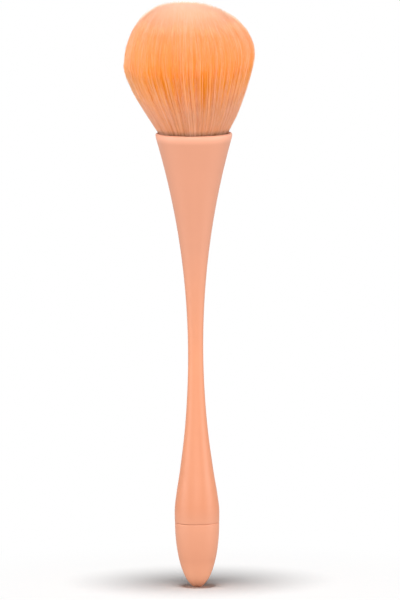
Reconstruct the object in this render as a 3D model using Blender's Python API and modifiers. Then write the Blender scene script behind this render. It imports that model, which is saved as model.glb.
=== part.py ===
"""Nail dust brush: a domed tuft in a goblet-shaped handle with a slim waist and a capped tail.

Metres, +Z up along the brush. The origin is the middle of the small flat on the tail's tip.
"""

import math
import random

import bmesh
import bpy
from mathutils import Vector

MM = 0.001  # metres in a millimetre

# Handle, outside
CAP_LENGTH = 19.0 * MM  # tail tip to seam
SWELL_LENGTH = 3.0 * MM  # seam to the tail's widest ring
TAPER_LENGTH = 47.2 * MM  # widest ring to waist
FLARE_LENGTH = 63.1 * MM  # waist to the underside of the rim's lip
LIP_HEIGHT = 1.2 * MM
RIM_RADIUS = 11.2 * MM
LIP_STEP = 0.12 * MM  # how far the lip stands out of the flare
WAIST_RADIUS = 2.23 * MM
TAIL_RADIUS = 6.54 * MM
SEAM_RADIUS = 6.48 * MM
TIP_FLAT_RADIUS = 1.0 * MM
FLARE_POWER_SHARE = 2.03
# Places along the taper from the widest ring to the waist, and the radius there above the waist's
TAPER_SHARES = ((0, 1), (0.12, 0.865), (0.25, 0.636), (0.5, 0.283), (0.75, 0.075), (1, 0))

# Handle, inside
RIM_WALL = 1.05 * MM
SOCKET_DEPTH = 13.0 * MM
SOCKET_FLOOR_RADIUS = 6.5 * MM
SHOULDER_WIDTH = 1.2 * MM
UPPER_CORE_DEPTH = 31.0 * MM  # below the socket's floor
CORE_END_RADIUS = 1.2 * MM
BORE_RADIUS = 4.7 * MM  # the tail's bore, for the cap's spigot
BORE_DEPTH = 6.0 * MM
BORE_STEP = 0.5 * MM
LOWER_CORE_DEPTH = 26.0 * MM  # above the bore

# Tail cap
SEAM_CHAMFER = 0.25 * MM
SPIGOT_HEIGHT = 5.0 * MM
SPIGOT_CHAMFER = 0.4 * MM
CAP_WALL = 1.6 * MM
CAP_FLOOR = 5.0 * MM  # solid plastic above the tip's flat

# Knot, in the socket
FIT_GAP = 0.3 * MM  # between neighbouring pieces
GLUE_THICKNESS = 1.0 * MM
GLUE_SAG = 1.5 * MM  # how far the adhesive reaches into the core
FERRULE_WALL = 0.5 * MM
FERRULE_HEIGHT = 8.4 * MM
PLUG_HEIGHT = 6.5 * MM
SLICE_THICKNESS = 1.4 * MM

# Tuft
TUFT_RADIUS = 19.1 * MM
SPREAD_LENGTH = 21.7 * MM  # rim to the tuft's widest ring
DOME_HEIGHT = 16.8 * MM  # widest ring to the top
TUFT_LEAN = 1.1 * MM  # the tuft's middle is this far to -X of the handle's axis
TIP_TAPER = 3.6 * MM
TIP_SCATTER = 0.7 * MM
SPREAD_POWER_SHARE = 1.72
LEAN_POWER_SHARE = 2.6
STRAND_RINGS = 11  # 3 strands times the square of this
PLAIN_RINGS = 7  # inner rings whose strands bend once
TOP_SHARE = 0.66  # a strand's thickness near its tip, as a share of its cell's
TIP_STRAY_SHARE = 0.16  # how far a tip strays from its place, as a share of a ring's width
FOOT_SCATTER_SHARE = 0.24  # how far the feet stray from even rings, as a share of a ring's width
BEND_SHARES = (0.3, 0.64)  # where the outer strands bend, from the rim to the widest ring
TUFT_SWIRL = math.radians(14)  # the outermost ring is turned this far against the middle
TUFT_SEED = 6

# Steps in the faceted surfaces
HANDLE_SIDES = 40
KNOT_SIDES = 32
LIP_STEPS = 6
FLARE_STEPS = 14
TAPER_STEPS = 12
DOME_STEPS = 9
HEXAGON_SIDES = 6

MERGE_DISTANCE = 0.01 * MM
SHARP_ANGLE = math.radians(35)

# Heights above the tail's tip
SEAM_HEIGHT = CAP_LENGTH
WIDEST_HEIGHT = SEAM_HEIGHT + SWELL_LENGTH
WAIST_HEIGHT = WIDEST_HEIGHT + TAPER_LENGTH
LIP_BASE_HEIGHT = WAIST_HEIGHT + FLARE_LENGTH
RIM_HEIGHT = LIP_BASE_HEIGHT + LIP_HEIGHT
SOCKET_FLOOR_HEIGHT = RIM_HEIGHT - SOCKET_DEPTH
KNOT_SEAT_HEIGHT = SOCKET_FLOOR_HEIGHT + FIT_GAP + GLUE_THICKNESS + FIT_GAP
SLICE_HEIGHT = KNOT_SEAT_HEIGHT + PLUG_HEIGHT + FIT_GAP
STRAND_FOOT_HEIGHT = SLICE_HEIGHT + SLICE_THICKNESS
MOUTH_RADIUS = RIM_RADIUS - RIM_WALL


def clear_scene():
    for obj in list(bpy.data.objects):
        bpy.data.objects.remove(obj, do_unlink=True)


def new_collection(name):
    collection = bpy.data.collections.new(name)
    bpy.context.scene.collection.children.link(collection)
    return collection


def material(name, colour, roughness, metallic):
    made = bpy.data.materials.new(name)
    made.use_nodes = True
    shader = made.node_tree.nodes["Principled BSDF"]
    shader.inputs["Base Color"].default_value = colour
    shader.inputs["Roughness"].default_value = roughness
    shader.inputs["Metallic"].default_value = metallic
    made.diffuse_color = colour
    return made


def handle_plastic():
    return material("peach_plastic", (0.90, 0.40, 0.235, 1), 0.42, 0)


def cap_plastic():
    return material("peach_cap_plastic", (0.88, 0.385, 0.225, 1), 0.42, 0)


def bristle_fibre():
    return material("orange_fibre", (0.95, 0.43, 0.19, 1), 0.6, 0)


def root_resin():
    return material("amber_resin", (0.78, 0.52, 0.26, 1), 0.3, 0)


def glue():
    return material("clear_glue", (0.86, 0.82, 0.70, 1), 0.25, 0)


def ferrule_plastic():
    return material("ivory_plastic", (0.85, 0.80, 0.70, 1), 0.45, 0)


def turned(collection, name, outline, sides, finish):
    """A solid of revolution about Z. The outline holds (radius, height) points."""
    profile = bpy.data.meshes.new(name + "_profile")
    edges = [(i, i + 1) for i in range(len(outline) - 1)]
    profile.from_pydata([(radius, 0, height) for radius, height in outline], edges, [])
    obj = bpy.data.objects.new(name, profile)
    collection.objects.link(obj)
    screw = obj.modifiers.new("Turn", "SCREW")
    screw.axis = "Z"
    screw.steps = sides
    screw.render_steps = sides
    screw.use_merge_vertices = True
    screw.merge_threshold = MERGE_DISTANCE
    graph = bpy.context.evaluated_depsgraph_get()
    mesh = bpy.data.meshes.new_from_object(obj.evaluated_get(graph))
    mesh.name = name
    obj.modifiers.clear()
    obj.data = mesh
    bpy.data.meshes.remove(profile)
    finish_surface(mesh, finish)
    return obj


def finish_surface(mesh, finish):
    mesh.shade_smooth()
    mesh.set_sharp_from_angle(angle=SHARP_ANGLE)
    mesh.materials.clear()
    mesh.materials.append(finish)


def smooth_steps(points, steps):
    """Points spread evenly along a smooth curve through the given ones, level at both its ends."""
    slopes = [0]
    for before, after in zip(points[:-2], points[2:]):
        slopes.append((after[1] - before[1]) / (after[0] - before[0]))
    slopes.append(0)
    curve = []
    for i in range(steps + 1):
        place = i / steps
        k = max(j for j in range(len(points) - 1) if points[j][0] <= place)
        (start, low), (end, high) = points[k], points[k + 1]
        width = end - start
        t = (place - start) / width
        value = (
            (2 * t**3 - 3 * t**2 + 1) * low
            + (t**3 - 2 * t**2 + t) * width * slopes[k]
            + (3 * t**2 - 2 * t**3) * high
            + (t**3 - t**2) * width * slopes[k + 1]
        )
        curve.append((place, value))
    return curve


def socket_radius(height):
    """The tapered socket's radius at a height inside it."""
    share = (height - SOCKET_FLOOR_HEIGHT) / SOCKET_DEPTH
    return SOCKET_FLOOR_RADIUS + share * (MOUTH_RADIUS - SOCKET_FLOOR_RADIUS)


def lip_outline():
    """Over the rounded lip, from the socket's mouth to the outside."""
    radius = RIM_WALL / 2
    centre = RIM_RADIUS - radius
    points = []
    for i in range(LIP_STEPS + 1):
        angle = math.pi * (1 - i / LIP_STEPS)
        points.append(
            (centre + radius * math.cos(angle), RIM_HEIGHT - radius + radius * math.sin(angle))
        )
    return points


def flare_outline():
    """Down the goblet's outside, from under the lip to just above the waist."""
    top_radius = RIM_RADIUS - LIP_STEP
    points = []
    for i in range(FLARE_STEPS):
        share = 1 - i / FLARE_STEPS
        radius = WAIST_RADIUS + (top_radius - WAIST_RADIUS) * share**FLARE_POWER_SHARE
        points.append((radius, WAIST_HEIGHT + share * FLARE_LENGTH))
    return points


def taper_outline():
    """Down from the waist to the tail's widest ring."""
    points = []
    for place, share in reversed(smooth_steps(TAPER_SHARES, TAPER_STEPS)):
        radius = WAIST_RADIUS + share * (TAIL_RADIUS - WAIST_RADIUS)
        points.append((radius, WIDEST_HEIGHT + place * TAPER_LENGTH))
    return points


def handle_shell(collection):
    core_top_radius = SOCKET_FLOOR_RADIUS - SHOULDER_WIDTH
    core_floor = SOCKET_FLOOR_HEIGHT - UPPER_CORE_DEPTH
    end = SEAM_HEIGHT + FIT_GAP
    bore_roof = end + BORE_DEPTH
    core_roof = bore_roof + LOWER_CORE_DEPTH
    outline = [
        (0, core_floor),
        (CORE_END_RADIUS, core_floor),
        (core_top_radius, SOCKET_FLOOR_HEIGHT),
        (SOCKET_FLOOR_RADIUS, SOCKET_FLOOR_HEIGHT),
    ]
    outline += lip_outline()
    outline += flare_outline()
    outline += taper_outline()
    outline += [
        (SEAM_RADIUS, end + SEAM_CHAMFER),
        (SEAM_RADIUS - SEAM_CHAMFER, end),
        (BORE_RADIUS, end),
        (BORE_RADIUS, bore_roof),
        (BORE_RADIUS - BORE_STEP, bore_roof),
        (CORE_END_RADIUS, core_roof),
        (0, core_roof),
    ]
    return turned(collection, "handle_shell", outline, HANDLE_SIDES, handle_plastic())


def tail_cap(collection):
    """Half an ellipsoid below the seam, cut flat at its tip, with a hollow spigot above."""
    spigot_radius = BORE_RADIUS - FIT_GAP
    hollow_radius = spigot_radius - CAP_WALL
    spigot_top = SEAM_HEIGHT + SPIGOT_HEIGHT
    last_angle = math.acos(TIP_FLAT_RADIUS / SEAM_RADIUS)
    depth = CAP_LENGTH / math.sin(last_angle)
    outline = [
        (0, CAP_FLOOR),
        (hollow_radius / 2, CAP_FLOOR),
        (hollow_radius, CAP_FLOOR + hollow_radius / 2),
        (hollow_radius, spigot_top),
        (spigot_radius - SPIGOT_CHAMFER, spigot_top),
        (spigot_radius, spigot_top - SPIGOT_CHAMFER),
        (spigot_radius, SEAM_HEIGHT),
        (SEAM_RADIUS - SEAM_CHAMFER, SEAM_HEIGHT),
    ]
    first_angle = math.asin(SEAM_CHAMFER / depth)
    for i in range(DOME_STEPS + 1):
        angle = first_angle + (last_angle - first_angle) * i / DOME_STEPS
        outline.append((SEAM_RADIUS * math.cos(angle), SEAM_HEIGHT - depth * math.sin(angle)))
    outline.append((0, 0))
    return turned(collection, "tail_cap", outline, HANDLE_SIDES, cap_plastic())


def glue_bed(collection):
    """Adhesive on the socket's shoulder, sagging into the core."""
    base = SOCKET_FLOOR_HEIGHT + FIT_GAP
    top = base + GLUE_THICKNESS
    sag_radius = SOCKET_FLOOR_RADIUS - 2 * SHOULDER_WIDTH
    outline = [
        (0, top),
        (socket_radius(top) - FIT_GAP, top),
        (socket_radius(base) - FIT_GAP, base),
        (sag_radius, base),
        (sag_radius / 2, base - GLUE_SAG),
        (0, base - GLUE_SAG),
    ]
    return turned(collection, "glue_bed", outline, KNOT_SIDES, glue())


def knot_ferrule(collection):
    """The tapered ring that holds the roots together and seats in the socket."""
    base = KNOT_SEAT_HEIGHT
    top = base + FERRULE_HEIGHT
    outer = [(socket_radius(height) - FIT_GAP, height) for height in (top, base)]
    inner = [(radius - FERRULE_WALL, height) for radius, height in reversed(outer)]
    outline = outer + inner + outer[:1]
    return turned(collection, "knot_ferrule", outline, KNOT_SIDES, ferrule_plastic())


def root_radius(height):
    """The radius that fits inside the ferrule at a height."""
    return socket_radius(height) - FIT_GAP - FERRULE_WALL - FIT_GAP


def root_plug(collection):
    base = KNOT_SEAT_HEIGHT
    top = base + PLUG_HEIGHT
    outline = [(0, top), (root_radius(top), top), (root_radius(base), base), (0, base)]
    return turned(collection, "root_plug", outline, KNOT_SIDES, root_resin())


def tuft_radius(height):
    """The radius of the tuft's outermost strands at a height."""
    mouth = MOUTH_RADIUS - FIT_GAP
    if height <= RIM_HEIGHT:
        share = (height - STRAND_FOOT_HEIGHT) / (RIM_HEIGHT - STRAND_FOOT_HEIGHT)
        foot = root_radius(STRAND_FOOT_HEIGHT)
        return foot + share * (mouth - foot)
    share = min(1, (height - RIM_HEIGHT) / SPREAD_LENGTH)
    return mouth + (TUFT_RADIUS - mouth) * (1 - (1 - share) ** SPREAD_POWER_SHARE)


def tuft_middle(height):
    """Where the tuft's middle is along X at a height: it leans over once it leaves the rim."""
    share = min(1, max(0, (height - RIM_HEIGHT) / SPREAD_LENGTH))
    return -TUFT_LEAN * (1 - (1 - share) ** LEAN_POWER_SHARE)


def in_tuft(spot, height):
    """A point of the tuft: spot is its place in a disc of radius 1."""
    radius = tuft_radius(height)
    return Vector((tuft_middle(height) + radius * spot.x, radius * spot.y, height))


def tip_height(reach):
    """The height of the dome over a place that lies this share of the way out."""
    return RIM_HEIGHT + SPREAD_LENGTH + DOME_HEIGHT * math.sqrt(max(0, 1 - reach**2))


def rounded(point):
    """Moves a corner of the hexagon's triangles onto a round ring, evenly spaced along it."""
    turn = math.tau / HEXAGON_SIDES
    side = round(math.atan2(point.y, point.x) / turn)
    out = Vector((math.cos(side * turn), math.sin(side * turn), 0))
    along = Vector((-out.y, out.x, 0))
    ring = point.dot(out) / math.cos(turn / 2)
    if ring == 0:
        return Vector((0, 0, 0))
    angle = (side + point.dot(along) / ring) * turn + ring * TUFT_SWIRL
    return Vector((ring * math.cos(angle), ring * math.sin(angle), 0))


def leans_right(face):
    """True for every other triangle of the lattice: those with one corner to +X."""
    places = [vert.co.x for vert in face.verts]
    return max(places) + min(places) > 2 * face.calc_center_median().x


def scatter(chance, share):
    """A small chance shift within the disc of radius 1, at most this share of a ring's width."""
    reach = share / STRAND_RINGS
    return Vector((chance.uniform(-reach, reach), chance.uniform(-reach, reach), 0))


def triangle_lattice(chance):
    """A round disc of radius 1 in rings of triangles, and the triangles that strands grow from."""
    bm = bmesh.new()
    bmesh.ops.create_circle(
        bm, cap_ends=True, cap_tris=True, segments=HEXAGON_SIDES, radius=1
    )
    bmesh.ops.subdivide_edges(
        bm, edges=bm.edges[:], cuts=STRAND_RINGS - 1, use_grid_fill=True
    )
    feet = [face for face in bm.faces if leans_right(face)]
    for vert in bm.verts:
        vert.co = rounded(vert.co)
        if not vert.is_boundary:
            vert.co += scatter(chance, FOOT_SCATTER_SHARE)
    return bm, feet


def thicken_slice(bm):
    """Gives the disc its side and its underside."""
    top_edges = [edge for edge in bm.edges if edge.is_boundary]
    side = bmesh.ops.extrude_edge_only(bm, edges=top_edges)["geom"]
    narrowing = root_radius(SLICE_HEIGHT) / root_radius(STRAND_FOOT_HEIGHT)
    for vert in side:
        if isinstance(vert, bmesh.types.BMVert):
            vert.co = Vector((vert.co.x * narrowing, vert.co.y * narrowing, SLICE_HEIGHT))
    low_edges = [edge for edge in bm.edges if edge.is_boundary]
    bmesh.ops.edgeloop_fill(bm, edges=low_edges)


def grow_strand(bm, face, spots, chance):
    """Raises one triangle as a strand of three sides that thins a little and ends on the dome."""
    middle = sum(spots, Vector()) / len(spots)
    tip = tip_height(middle.length) - TIP_SCATTER * chance.random()
    heights = [RIM_HEIGHT]
    if middle.length * STRAND_RINGS > PLAIN_RINGS:
        heights += [RIM_HEIGHT + share * SPREAD_LENGTH for share in BEND_SHARES]
    heights.append(tip - TIP_TAPER)
    stray = scatter(chance, TIP_STRAY_SHARE)
    for height in heights:
        face = bmesh.ops.extrude_discrete_faces(bm, faces=[face])["faces"][0]
        grown = (height - STRAND_FOOT_HEIGHT) / (tip - STRAND_FOOT_HEIGHT)
        width = 1 - math.sqrt(grown) * (1 - TOP_SHARE)
        for vert, spot in zip(face.verts, spots):
            vert.co = in_tuft(middle + grown * stray + width * (spot - middle), height)
    face = bmesh.ops.extrude_discrete_faces(bm, faces=[face])["faces"][0]
    bmesh.ops.pointmerge(bm, verts=face.verts[:], merge_co=in_tuft(middle + stray, tip))


def bristle_knot(collection):
    """Strands that grow from every other triangle of a round slice of their resin backing."""
    chance = random.Random(TUFT_SEED)
    bm, feet = triangle_lattice(chance)
    spots = [[vert.co.copy() for vert in face.verts] for face in feet]
    for vert in bm.verts:
        vert.co = in_tuft(vert.co, STRAND_FOOT_HEIGHT)
    thicken_slice(bm)
    for face, corners in zip(feet, spots):
        grow_strand(bm, face, corners, chance)
    bmesh.ops.recalc_face_normals(bm, faces=bm.faces[:])
    mesh = bpy.data.meshes.new("bristle_knot")
    bm.to_mesh(mesh)
    bm.free()
    obj = bpy.data.objects.new("bristle_knot", mesh)
    collection.objects.link(obj)
    finish_surface(mesh, bristle_fibre())
    return obj


def main():
    clear_scene()
    collection = new_collection("nail_dust_brush")
    handle_shell(collection)
    tail_cap(collection)
    glue_bed(collection)
    knot_ferrule(collection)
    root_plug(collection)
    bristle_knot(collection)


main()
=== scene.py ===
"""Nail dust brush: the finish of every visible surface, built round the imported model.

Laid out as an add-on and run as a script. Metres, +Z up along the brush, the photo's camera to -Y.
"""

import math

import bpy
from bpy.props import (
    FloatProperty,
    FloatVectorProperty,
    IntProperty,
    PointerProperty,
)
from mathutils import Matrix, Vector


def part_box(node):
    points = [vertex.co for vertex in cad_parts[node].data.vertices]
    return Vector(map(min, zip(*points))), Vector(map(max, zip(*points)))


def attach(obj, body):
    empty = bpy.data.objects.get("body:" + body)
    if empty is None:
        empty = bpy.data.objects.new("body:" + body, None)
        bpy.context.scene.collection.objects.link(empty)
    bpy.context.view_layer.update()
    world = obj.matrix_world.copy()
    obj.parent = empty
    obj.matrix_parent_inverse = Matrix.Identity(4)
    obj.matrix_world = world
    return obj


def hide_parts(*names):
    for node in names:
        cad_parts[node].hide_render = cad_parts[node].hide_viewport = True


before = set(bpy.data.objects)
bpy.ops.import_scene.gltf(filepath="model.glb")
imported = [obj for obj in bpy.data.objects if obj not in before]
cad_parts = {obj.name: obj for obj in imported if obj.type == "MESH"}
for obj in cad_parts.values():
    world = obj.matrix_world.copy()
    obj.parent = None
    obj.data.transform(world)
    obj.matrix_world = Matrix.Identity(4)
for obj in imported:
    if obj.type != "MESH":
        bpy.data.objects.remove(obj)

bl_info = {
    "name": "Nail dust brush",
    "version": (1, 0, 0),
    "blender": (4, 5, 0),
    "location": "3D View > Sidebar > Dust brush",
    "description": "Builds the handle, tail cap and bristles of a nail dust brush, and its stage",
    "category": "Object",
}

MM = 0.001  # metres in a millimetre
BODY = "root"
BRISTLE_MAP = "OFBake"  # the bristles' UV map: the strand's shade across, the height up the tuft along

HANDLE_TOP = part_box("handle_shell")[1].z
RIM_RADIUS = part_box("handle_shell")[1].x
CAP_SPIGOT_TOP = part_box("tail_cap")[1].z
KNOT_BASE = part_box("bristle_knot")[0].z
SEAM_HEIGHT = 19.0 * MM  # from the tail's tip to the seam

# Places along the taper from the widest ring to the waist, and the radius there above the waist's
TAPER_SHARES = ((0, 1), (0.12, 0.865), (0.25, 0.636), (0.5, 0.283), (0.75, 0.075), (1, 0))
# Heights from the strands' feet to the tuft's widest ring, and the spread of the tuft there
SPREAD_SHARES = (
    (0, 0), (0.04, 0.081), (0.069, 0.125), (0.109, 0.168), (0.13, 0.202), (0.162, 0.248), (0.235, 0.335),
    (0.34, 0.471), (0.482, 0.628), (0.624, 0.772), (0.765, 0.89), (0.875, 0.968), (0.947, 0.993), (1, 1),
)
# Heights from the strands' feet to the top, and how far the tuft's middle leans to -X there
LEAN_SHARES = (
    (0, 0), (0.15, 0), (0.237, 0.095), (0.306, 0.21), (0.377, 0.325), (0.445, 0.42), (0.502, 0.475),
    (0.56, 0.485), (0.62, 0.505), (0.7, 0.56), (0.78, 0.62), (0.86, 0.717), (0.92, 0.826), (1, 1),
)

# Heights from the tail's tip at 0 to the rim at 1, and the colour of the plastic there; the colours just
# above the seam, at the waist, at the rim's band and near the cap's tip are painted light
HANDLE_COLOUR_SHARES = (
    (0.143, "seam_painted_light_colour"), (0.18, "tail_colour"), (0.5, "waist_painted_light_colour"),
    (0.75, "cone_colour"), (0.98, "cone_colour"), (0.992, "rim_highlight_colour"),
)
CAP_COLOUR_SHARES = ((0.02, "cap_tip_painted_light_colour"), (0.06, "base_colour"))
# Heights from the strands' feet at 0 to the dome's top at 1, and the colour of the fibre there, with painted
# shade at the feet and partly painted highlight on the dome's shoulder and top
FIBRE_COLOUR_SHARES = (
    (0.085, "foot_painted_shade_colour"), (0.116, "foot_colour"), (0.3, "lower_colour"), (0.44, "middle_colour"),
    (0.57, "rising_colour"), (0.75, "upper_colour"), (0.88, "shoulder_pale_and_highlight_colour"), (1, "top_pale_and_highlight_colour"),
)
# Heights on the same scale between which something grows from nothing to its full strength
# The darkest strands' tint is partly painted shade between locks.
DARK_STRANDS_SHARES = (0.75, 0.5)  # the tint of the darkest strands
DEEP_TINT_SHARES = (0.55, 0.25)  # the deeper tint that they have low down
GLOSS_SHARES = (0.5, 0.7)  # the soft gloss of the tips


# Node trees


class Value:
    """A number inside a node tree. Arithmetic on it adds Math nodes."""

    def __init__(self, tree, socket):
        self.tree = tree
        self.socket = socket

    def math(self, operation, *others, clamp=False):
        inputs = dict(enumerate((self, *others)))
        return self.tree.value("ShaderNodeMath", inputs, operation=operation, use_clamp=clamp)

    def __add__(self, other):
        return self.math("ADD", other)

    __radd__ = __add__

    def __sub__(self, other):
        return self.math("SUBTRACT", other)

    def __rsub__(self, other):
        return self.tree.value("ShaderNodeMath", {0: other, 1: self}, operation="SUBTRACT")

    def __mul__(self, other):
        return self.math("MULTIPLY", other)

    __rmul__ = __mul__

    def __truediv__(self, other):
        return self.math("DIVIDE", other)

    def __rtruediv__(self, other):
        return self.tree.value("ShaderNodeMath", {0: other, 1: self}, operation="DIVIDE")

    def __pow__(self, power):
        return self.math("POWER", power)

    def clamped(self):
        return self.math("ADD", 0, clamp=True)


class Tree:
    """Adds nodes to a material's or a modifier's node tree."""

    # Sockets of the Mix node's colours
    MIX_FACTOR, MIX_A, MIX_B, MIX_RESULT = 0, 6, 7, 2

    def __init__(self, nodes):
        self.nodes = nodes

    def add(self, kind, inputs=None, **settings):
        """One node. A setting named stops fills its ramp, and one named curve its curve."""
        node = self.nodes.nodes.new(kind)
        for name, value in settings.items():
            if name == "stops":
                self.fill_ramp(node.color_ramp, value)
            elif name == "curve":
                self.fill_curve(node.mapping, value)
            else:
                setattr(node, name, value)
        for key, value in (inputs or {}).items():
            self.feed(node.inputs[key], value)
        return node

    def feed(self, socket, value):
        if isinstance(value, Value):
            value = value.socket
        if isinstance(value, bpy.types.NodeSocket):
            self.nodes.links.new(value, socket)
        else:
            socket.default_value = value

    def value(self, kind, inputs=None, output=0, **settings):
        return Value(self, self.add(kind, inputs, **settings).outputs[output])

    def mixed(self, factor, first, second, blend="MIX"):
        """One colour blended over another."""
        inputs = {self.MIX_FACTOR: factor, self.MIX_A: first, self.MIX_B: second}
        node = self.add("ShaderNodeMix", inputs, data_type="RGBA", blend_type=blend)
        return node.outputs[self.MIX_RESULT]

    @staticmethod
    def fill_ramp(ramp, stops):
        while len(ramp.elements) < len(stops):
            ramp.elements.new(1)
        while len(ramp.elements) > len(stops):
            ramp.elements.remove(ramp.elements[-1])
        for element, (place, colour) in zip(ramp.elements, stops):
            element.position = place
            element.color = colour

    @staticmethod
    def fill_curve(mapping, points):
        curve = mapping.curves[0]
        while len(curve.points) < len(points):
            curve.points.new(1, 1)
        for point, place in zip(curve.points, points):
            point.location = place
            point.handle_type = "AUTO_CLAMPED"
        mapping.update()


def new_material(name):
    """A material with its tree and its Principled shader."""
    made = bpy.data.materials.new(name)
    made.use_nodes = True
    return made, Tree(made.node_tree), made.node_tree.nodes["Principled BSDF"]


def faded(colour, share):
    """A colour made darker or lighter by a share."""
    return (colour[0] * share, colour[1] * share, colour[2] * share, 1)


# Finishes

WHITE = (1, 1, 1)
FLOW_DARK, FLOW_LIGHT = 0.965, 1.03  # what flow clouds tint moulded plastic by
SATIN_SPREAD = 0.12  # how much the roughness of moulded plastic differs from place to place
CLOUD_DARK, CLOUD_LIGHT = 0.85, 1.1  # what clouds tint resin by
RESIN_SPREAD = 0.2  # how much the roughness of resin differs from place to place
# Above PALE_FROM lie pale tips and loose strands, whose paleness is partly painted sheen; FAN_PALENESS is
# partly painted highlight on the fan's brightest strands.
PALE_FROM = 0.72  # the shade in the bristles' map above which a strand is paler than its dye
FAN_PALENESS = 0.45  # how near the brightest strands of the fan come to the loose strands' colour
FIBRE_FINISH = {
    "Roughness": 0.6,
    "Specular IOR Level": 0,
    "Coat Roughness": 0.6,
    "Sheen Weight": 0.8,
    "Sheen Roughness": 0.3,
    "Sheen Tint": (1, 0.72, 0.48, 1),
}


def colour_stops(settings, shares):
    """A ramp's stops, from their places and the names of colours in the settings."""
    return [(place, tuple(getattr(settings, name))) for place, name in shares]


def moulded_plastic(name, stops, roughness):
    """Satin moulded plastic, coloured along the height by a ramp that carries painted light for the handle
    and cap, with fine grain and faint flow clouds.
    """
    made, tree, shader = new_material(name)
    place = tree.add("ShaderNodeTexCoord").outputs["Object"]
    clouds = tree.value("ShaderNodeTexNoise", {"Vector": place, "Scale": 90, "Detail": 3})
    satin = tree.value("ShaderNodeTexNoise", {"Vector": place, "Scale": 420, "Detail": 2})
    grain = tree.value("ShaderNodeTexNoise", {"Vector": place, "Scale": 5200, "Detail": 2})
    up = Value(tree, tree.add("ShaderNodeSeparateXYZ", {"Vector": place}).outputs["Z"]) / HANDLE_TOP
    body = tree.add("ShaderNodeValToRGB", {"Fac": up}, stops=stops).outputs["Color"]
    flow = tree.mixed(clouds, faded(WHITE, FLOW_DARK), faded(WHITE, FLOW_LIGHT))
    tree.feed(shader.inputs["Base Color"], tree.mixed(1, body, flow, "MULTIPLY"))
    tree.feed(shader.inputs["Roughness"], roughness + (satin - 0.5) * SATIN_SPREAD)
    bump = tree.add("ShaderNodeBump", {"Strength": 0.12, "Distance": 0.02 * MM, "Height": grain})
    tree.feed(shader.inputs["Normal"], bump.outputs["Normal"])
    shader.inputs["IOR"].default_value = 1.5
    return made


def bristle_fibre(name, tuft):
    """Soft dyed fibre: the tone differs from strand to strand and the tips are paler; the colours also carry
    painted shade at the feet and between locks, painted highlight on the dome's top and the fan's brightest
    strands, and painted sheen on the loose strands.
    """
    made, tree, shader = new_material(name)
    spot = tree.add("ShaderNodeUVMap", uv_map=BRISTLE_MAP).outputs["UV"]
    axes = tree.add("ShaderNodeSeparateXYZ", {"Vector": spot})
    shade, up = Value(tree, axes.outputs["X"]), Value(tree, axes.outputs["Y"])

    def growing(heights):
        """0 at the first height and 1 at the second."""
        inputs = {"Value": up, "From Min": heights[0], "From Max": heights[1]}
        return tree.value("ShaderNodeMapRange", inputs)

    stops = colour_stops(tuft, FIBRE_COLOUR_SHARES)
    dye_and_painted_light = tree.add("ShaderNodeValToRGB", {"Fac": up}, stops=stops).outputs["Color"]
    low = growing(DEEP_TINT_SHARES)
    # The darkest strands are tinted deeper, more so low down: partly random tone, partly painted shade
    # between locks.
    tint = tree.mixed(low, tuple(tuft.streak_tint), tuple(tuft.deep_tint))
    deep = tree.mixed(1, dye_and_painted_light, tint, "MULTIPLY")
    tone = (shade / PALE_FROM).clamped() * 2
    dyed_and_painted_light = tree.mixed((1 - tone).clamped() * growing(DARK_STRANDS_SHARES), dye_and_painted_light, deep)
    # The brightest strands of the fan turn towards the loose strands' colour: partly random tone, partly
    # painted highlight.
    dyed_and_painted_light = tree.mixed((tone - 1).clamped() * low * FAN_PALENESS, dyed_and_painted_light, tuple(tuft.loose_pale_and_sheen_colour))
    # Pale tips and loose strands turn towards the loose strands' colour; the loose strands' paleness is
    # partly painted sheen.
    pale = ((shade - PALE_FROM) / (1 - PALE_FROM)).clamped()
    tree.feed(shader.inputs["Base Color"], tree.mixed(pale, dyed_and_painted_light, tuple(tuft.loose_pale_and_sheen_colour)))
    tree.feed(shader.inputs["Coat Weight"], growing(GLOSS_SHARES) * tuft.gloss)
    for socket, value in FIBRE_FINISH.items():
        shader.inputs[socket].default_value = value
    return made


def cast_resin(name, colour, roughness):
    """Hardened resin or adhesive: cloudy, with a skin that isn't quite level."""
    made, tree, shader = new_material(name)
    place = tree.add("ShaderNodeTexCoord").outputs["Object"]
    clouds = tree.value("ShaderNodeTexNoise", {"Vector": place, "Scale": 600, "Detail": 4})
    tint = tree.mixed(clouds, faded(colour, CLOUD_DARK), faded(colour, CLOUD_LIGHT))
    tree.feed(shader.inputs["Base Color"], tint)
    tree.feed(shader.inputs["Roughness"], roughness + (clouds - 0.5) * RESIN_SPREAD)
    bump = tree.add("ShaderNodeBump", {"Strength": 0.3, "Distance": 0.05 * MM, "Height": clouds})
    tree.feed(shader.inputs["Normal"], bump.outputs["Normal"])
    return made


# Meshes

SHARP_FROM = math.radians(50)  # edges that turn by less are smooth


def smooth_steps(points, steps):
    """Points spread evenly along a smooth curve through the given ones, level at both its ends."""
    slopes = [0]
    for before, after in zip(points[:-2], points[2:]):
        slopes.append((after[1] - before[1]) / (after[0] - before[0]))
    slopes.append(0)
    curve = []
    for i in range(steps + 1):
        place = i / steps
        k = max(j for j in range(len(points) - 1) if points[j][0] <= place)
        (start, low), (end, high) = points[k], points[k + 1]
        width = end - start
        t = (place - start) / width
        value = (
            (2 * t**3 - 3 * t**2 + 1) * low
            + (t**3 - 2 * t**2 + t) * width * slopes[k]
            + (3 * t**2 - 2 * t**3) * high
            + (t**3 - t**2) * width * slopes[k + 1]
        )
        curve.append((place, value))
    return curve


def arc(centre, radius, first, last, steps):
    """Points (radius, height) along part of a circle."""
    points = []
    for i in range(steps + 1):
        angle = first + (last - first) * i / steps
        points.append((centre[0] + radius * math.cos(angle), centre[1] + radius * math.sin(angle)))
    return points


def placed(name, data):
    """A new object in the scene."""
    obj = bpy.data.objects.new(name, data)
    bpy.context.scene.collection.objects.link(obj)
    return obj


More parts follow.
